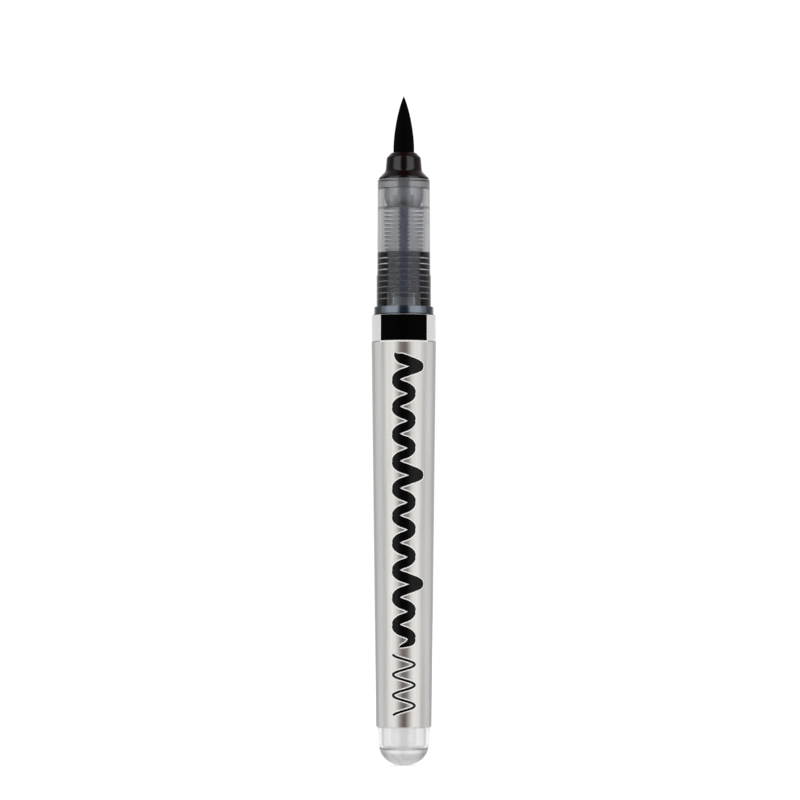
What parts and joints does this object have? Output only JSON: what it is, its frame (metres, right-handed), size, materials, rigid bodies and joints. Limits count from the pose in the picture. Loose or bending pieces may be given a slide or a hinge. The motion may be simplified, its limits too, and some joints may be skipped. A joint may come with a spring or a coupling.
{
  "type": "calligraphy marker",
  "caption": "Free-ink calligraphy marker, uncapped: tapered barrel with silver sleeve, smoke-clear grip showing the finned collector, stepped black nozzle, pointed brush.",
  "frame": {"origin": "centre of the small moulding flat at the bottom of the clear rear end, with the marker upright and its brush on top", "axes": "+Z along the marker's axis from rear end to brush point, -Y out of the printed front that carries the black colour block, +X to the right of that front"},
  "size_m": [0.013, 0.0131, 0.1339],
  "materials": {
    "clear_plastic": "clear, polished, with faint moulding draw lines",
    "smoke_plastic": "smoke-grey clear, polished",
    "collector_plastic": "dark smoke, ink-wetted",
    "black_plastic": "glossy black moulding",
    "natural_plastic": "natural milky moulding",
    "silver_film": null,
    "pale_film": "white underprint under clear film",
    "black_print": "solid black print",
    "ink": "liquid black",
    "wick_fibre": "bonded fibre, ink-soaked",
    "bristle": "fine black bristles, ink-soaked",
    "seal_rubber": "matt"
  },
  "bodies": {
    "root": {"rear_plug": "clear_plastic", "tank_stopper": "natural_plastic", "ink_charge": "ink", "barrel": "clear_plastic", "label_sleeve": "silver_film", "colour_band": "pale_film", "colour_patch": "black_print", "section_base": "collector_plastic", "tank_seal_ring": "seal_rubber", "collector": "collector_plastic", "feed_wick": "wick_fibre", "grip_tube": "smoke_plastic", "nozzle_adapter": "smoke_plastic", "nozzle": "black_plastic", "brush_root": "bristle"},
    "belly": {"brush_belly": "bristle"},
    "point": {"brush_point": "bristle"}
  },
  "joints": [
    {"name": "brush_bend", "type": "hinge", "parent": "root", "child": "belly", "pos_m": [0, 0, 0.1223], "axis": [0, 1, 0], "range_deg": [-18, 18], "stiffness_Nm_per_rad": 0.002},
    {"name": "point_bend", "type": "hinge", "parent": "belly", "child": "point", "pos_m": [0, 0, 0.1269], "axis": [0, 1, 0], "range_deg": [-27, 27], "stiffness_Nm_per_rad": 0.0005}
  ],
  "couplings": [
    {"joint": "point_bend", "follows": "brush_bend", "ratio": 1.5}
  ]
}
